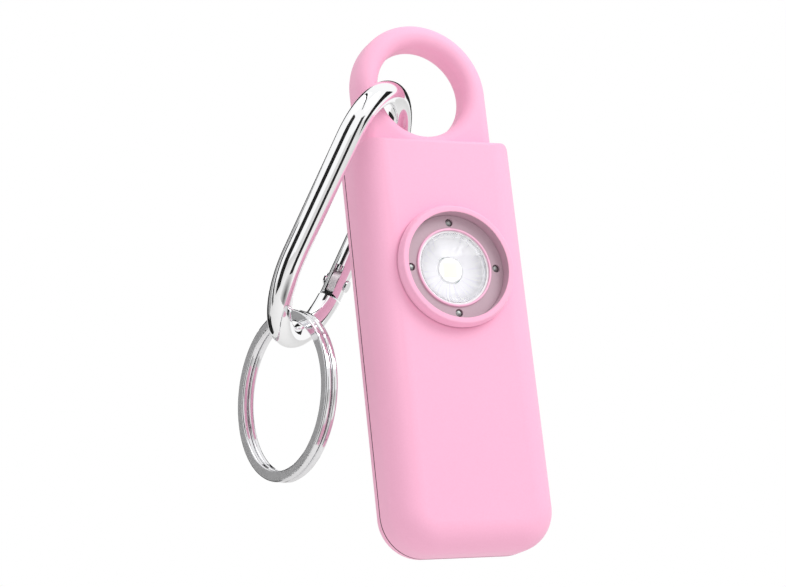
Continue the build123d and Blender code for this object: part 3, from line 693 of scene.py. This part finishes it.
# Boards and what they carry
# Glass-fibre boards under green solder resist, which shows the copper tracks as slightly
# lighter bands. The chip, coil and capacitor are soldered to the main one.
track_pitch = 1.3 * mm
track_share = 0.08
for board_name in ("main_board", "led_board"):
    resist = worked_material(
        board_name + "_solder_resist", "#0E4A2C", "#12562F", (0.25, 0.38), 0.5 * mm
    )
    tree = resist.node_tree
    facing_front = add_node(
        tree, "ShaderNodeMapping", {"Rotation": (quarter_turn, 0, 0)},
        {"Vector": object_place(tree)},
    )
    tracks = add_node(
        tree, "ShaderNodeTexBrick",
        {"Color1": linear("#0F4D2D"), "Color2": linear("#135A35"), "Mortar": linear("#2A7A4A"),
         "Scale": 1 / track_pitch, "Mortar Size": track_share},
        {"Vector": facing_front.outputs["Vector"]},
    )
    tree.links.new(tracks.outputs["Color"], shader_inputs(tree)["Base Color"])
    finish_node(board_name, resist)
black_epoxy = worked_material(
    "black_epoxy_moulded", "#17171A", "#26262A", (0.5, 0.65), 0.2 * mm
)
ferrite = worked_material(
    "sintered_ferrite", "#26221F", "#3A3530", (0.6, 0.75), 0.15 * mm, relief=0.1
)
can = worked_material(
    "drawn_aluminium_can", "#9DA0A4", "#BDC0C4", (0.25, 0.4), 0.4 * mm, metallic=1.0
)
finish_node("siren_chip", black_epoxy)
finish_node("boost_inductor", ferrite)
finish_node("capacitor", can)

# Switch leaves
# Two strips of rolled phosphor bronze stand in a black block on the board's tab. They
# spring together when the pin's tongue leaves them.
bronze = worked_material(
    "rolled_phosphor_bronze", "#B07A45", "#C98F58", (0.25, 0.42), 0.3 * mm, metallic=1.0,
    stretch=(1, 1, 0.1),
)
for side in ("front", "rear"):
    finish_node("switch_leaf_" + side, bronze)
finish_node("switch_base", black_abs)

# Cells and contacts
# Two coin cells in nickel-plated steel cans lie in a black tray between two stamped
# contacts of the same metal, brushed in one direction by the rolling.
nickel_can = worked_material(
    "nickel_plated_steel_rolled", "#B9BBBF", "#D2D4D7", (0.2, 0.36), 0.4 * mm, metallic=1.0,
    stretch=(0.08, 1, 1),
)
for side in ("front", "rear"):
    finish_node("battery_cell_" + side, nickel_can)
    finish_node("battery_contact_" + side, nickel_can)
finish_node("battery_holder", black_abs)

# Snap hook
# Bent and milled from round steel wire, polished, then plated with bright chrome, which
# handling has hazed a little. The gate turns on a rivet, and a zinc-plated spring inside
# it pushes a plunger on the frame's tang.
chrome = worked_material(
    "chrome_plated_polished", "#F6F7F8", "#FCFCFD", (0.03, 0.08), 4 * mm, metallic=1.0
)
for name in ("carabiner_gate", "gate_rivet"):
    finish_node(name, chrome)
finish_node("gate_spring", zinc_material)

# The tang in the gate's fork is left as milled, so it is satin within reach of the rivet.
tang_reach = 2.6 * mm
tang_blend = 0.2 * mm
tang_roughness = 0.6
rivet_low, rivet_high = (Vector(corner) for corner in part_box("gate_rivet"))
frame_chrome = chrome.copy()
frame_chrome.name = "chrome_plated_with_milled_tang"
tree = frame_chrome.node_tree
roughness_socket = shader_inputs(tree)["Roughness"]
from_rivet = distance_from(tree, (rivet_low + rivet_high) / 2)
on_tang = ramp(tree, from_rivet, tang_reach - tang_blend, tang_reach + tang_blend, 1.0, 0.0)
satin = add_node(
    tree, "ShaderNodeMix", {"data_type": "FLOAT", 3: tang_roughness},
    {"Factor": on_tang, 2: roughness_socket.links[0].from_socket},
)
tree.links.new(satin.outputs[0], roughness_socket)
for name in ("carabiner_frame", "gate_plunger"):
    finish_node(name, frame_chrome)

# Split ring
# Flat spring-steel wire wound into two turns, tumbled smooth and plated with nickel, so
# its flat face is a soft grey and its edges are bright.
nickel = worked_material(
    "nickel_plated_tumbled", "#E2E2E4", "#EEEEF0", (0.05, 0.12), 0.8 * mm, metallic=1.0
)
finish_node("split_ring", nickel)
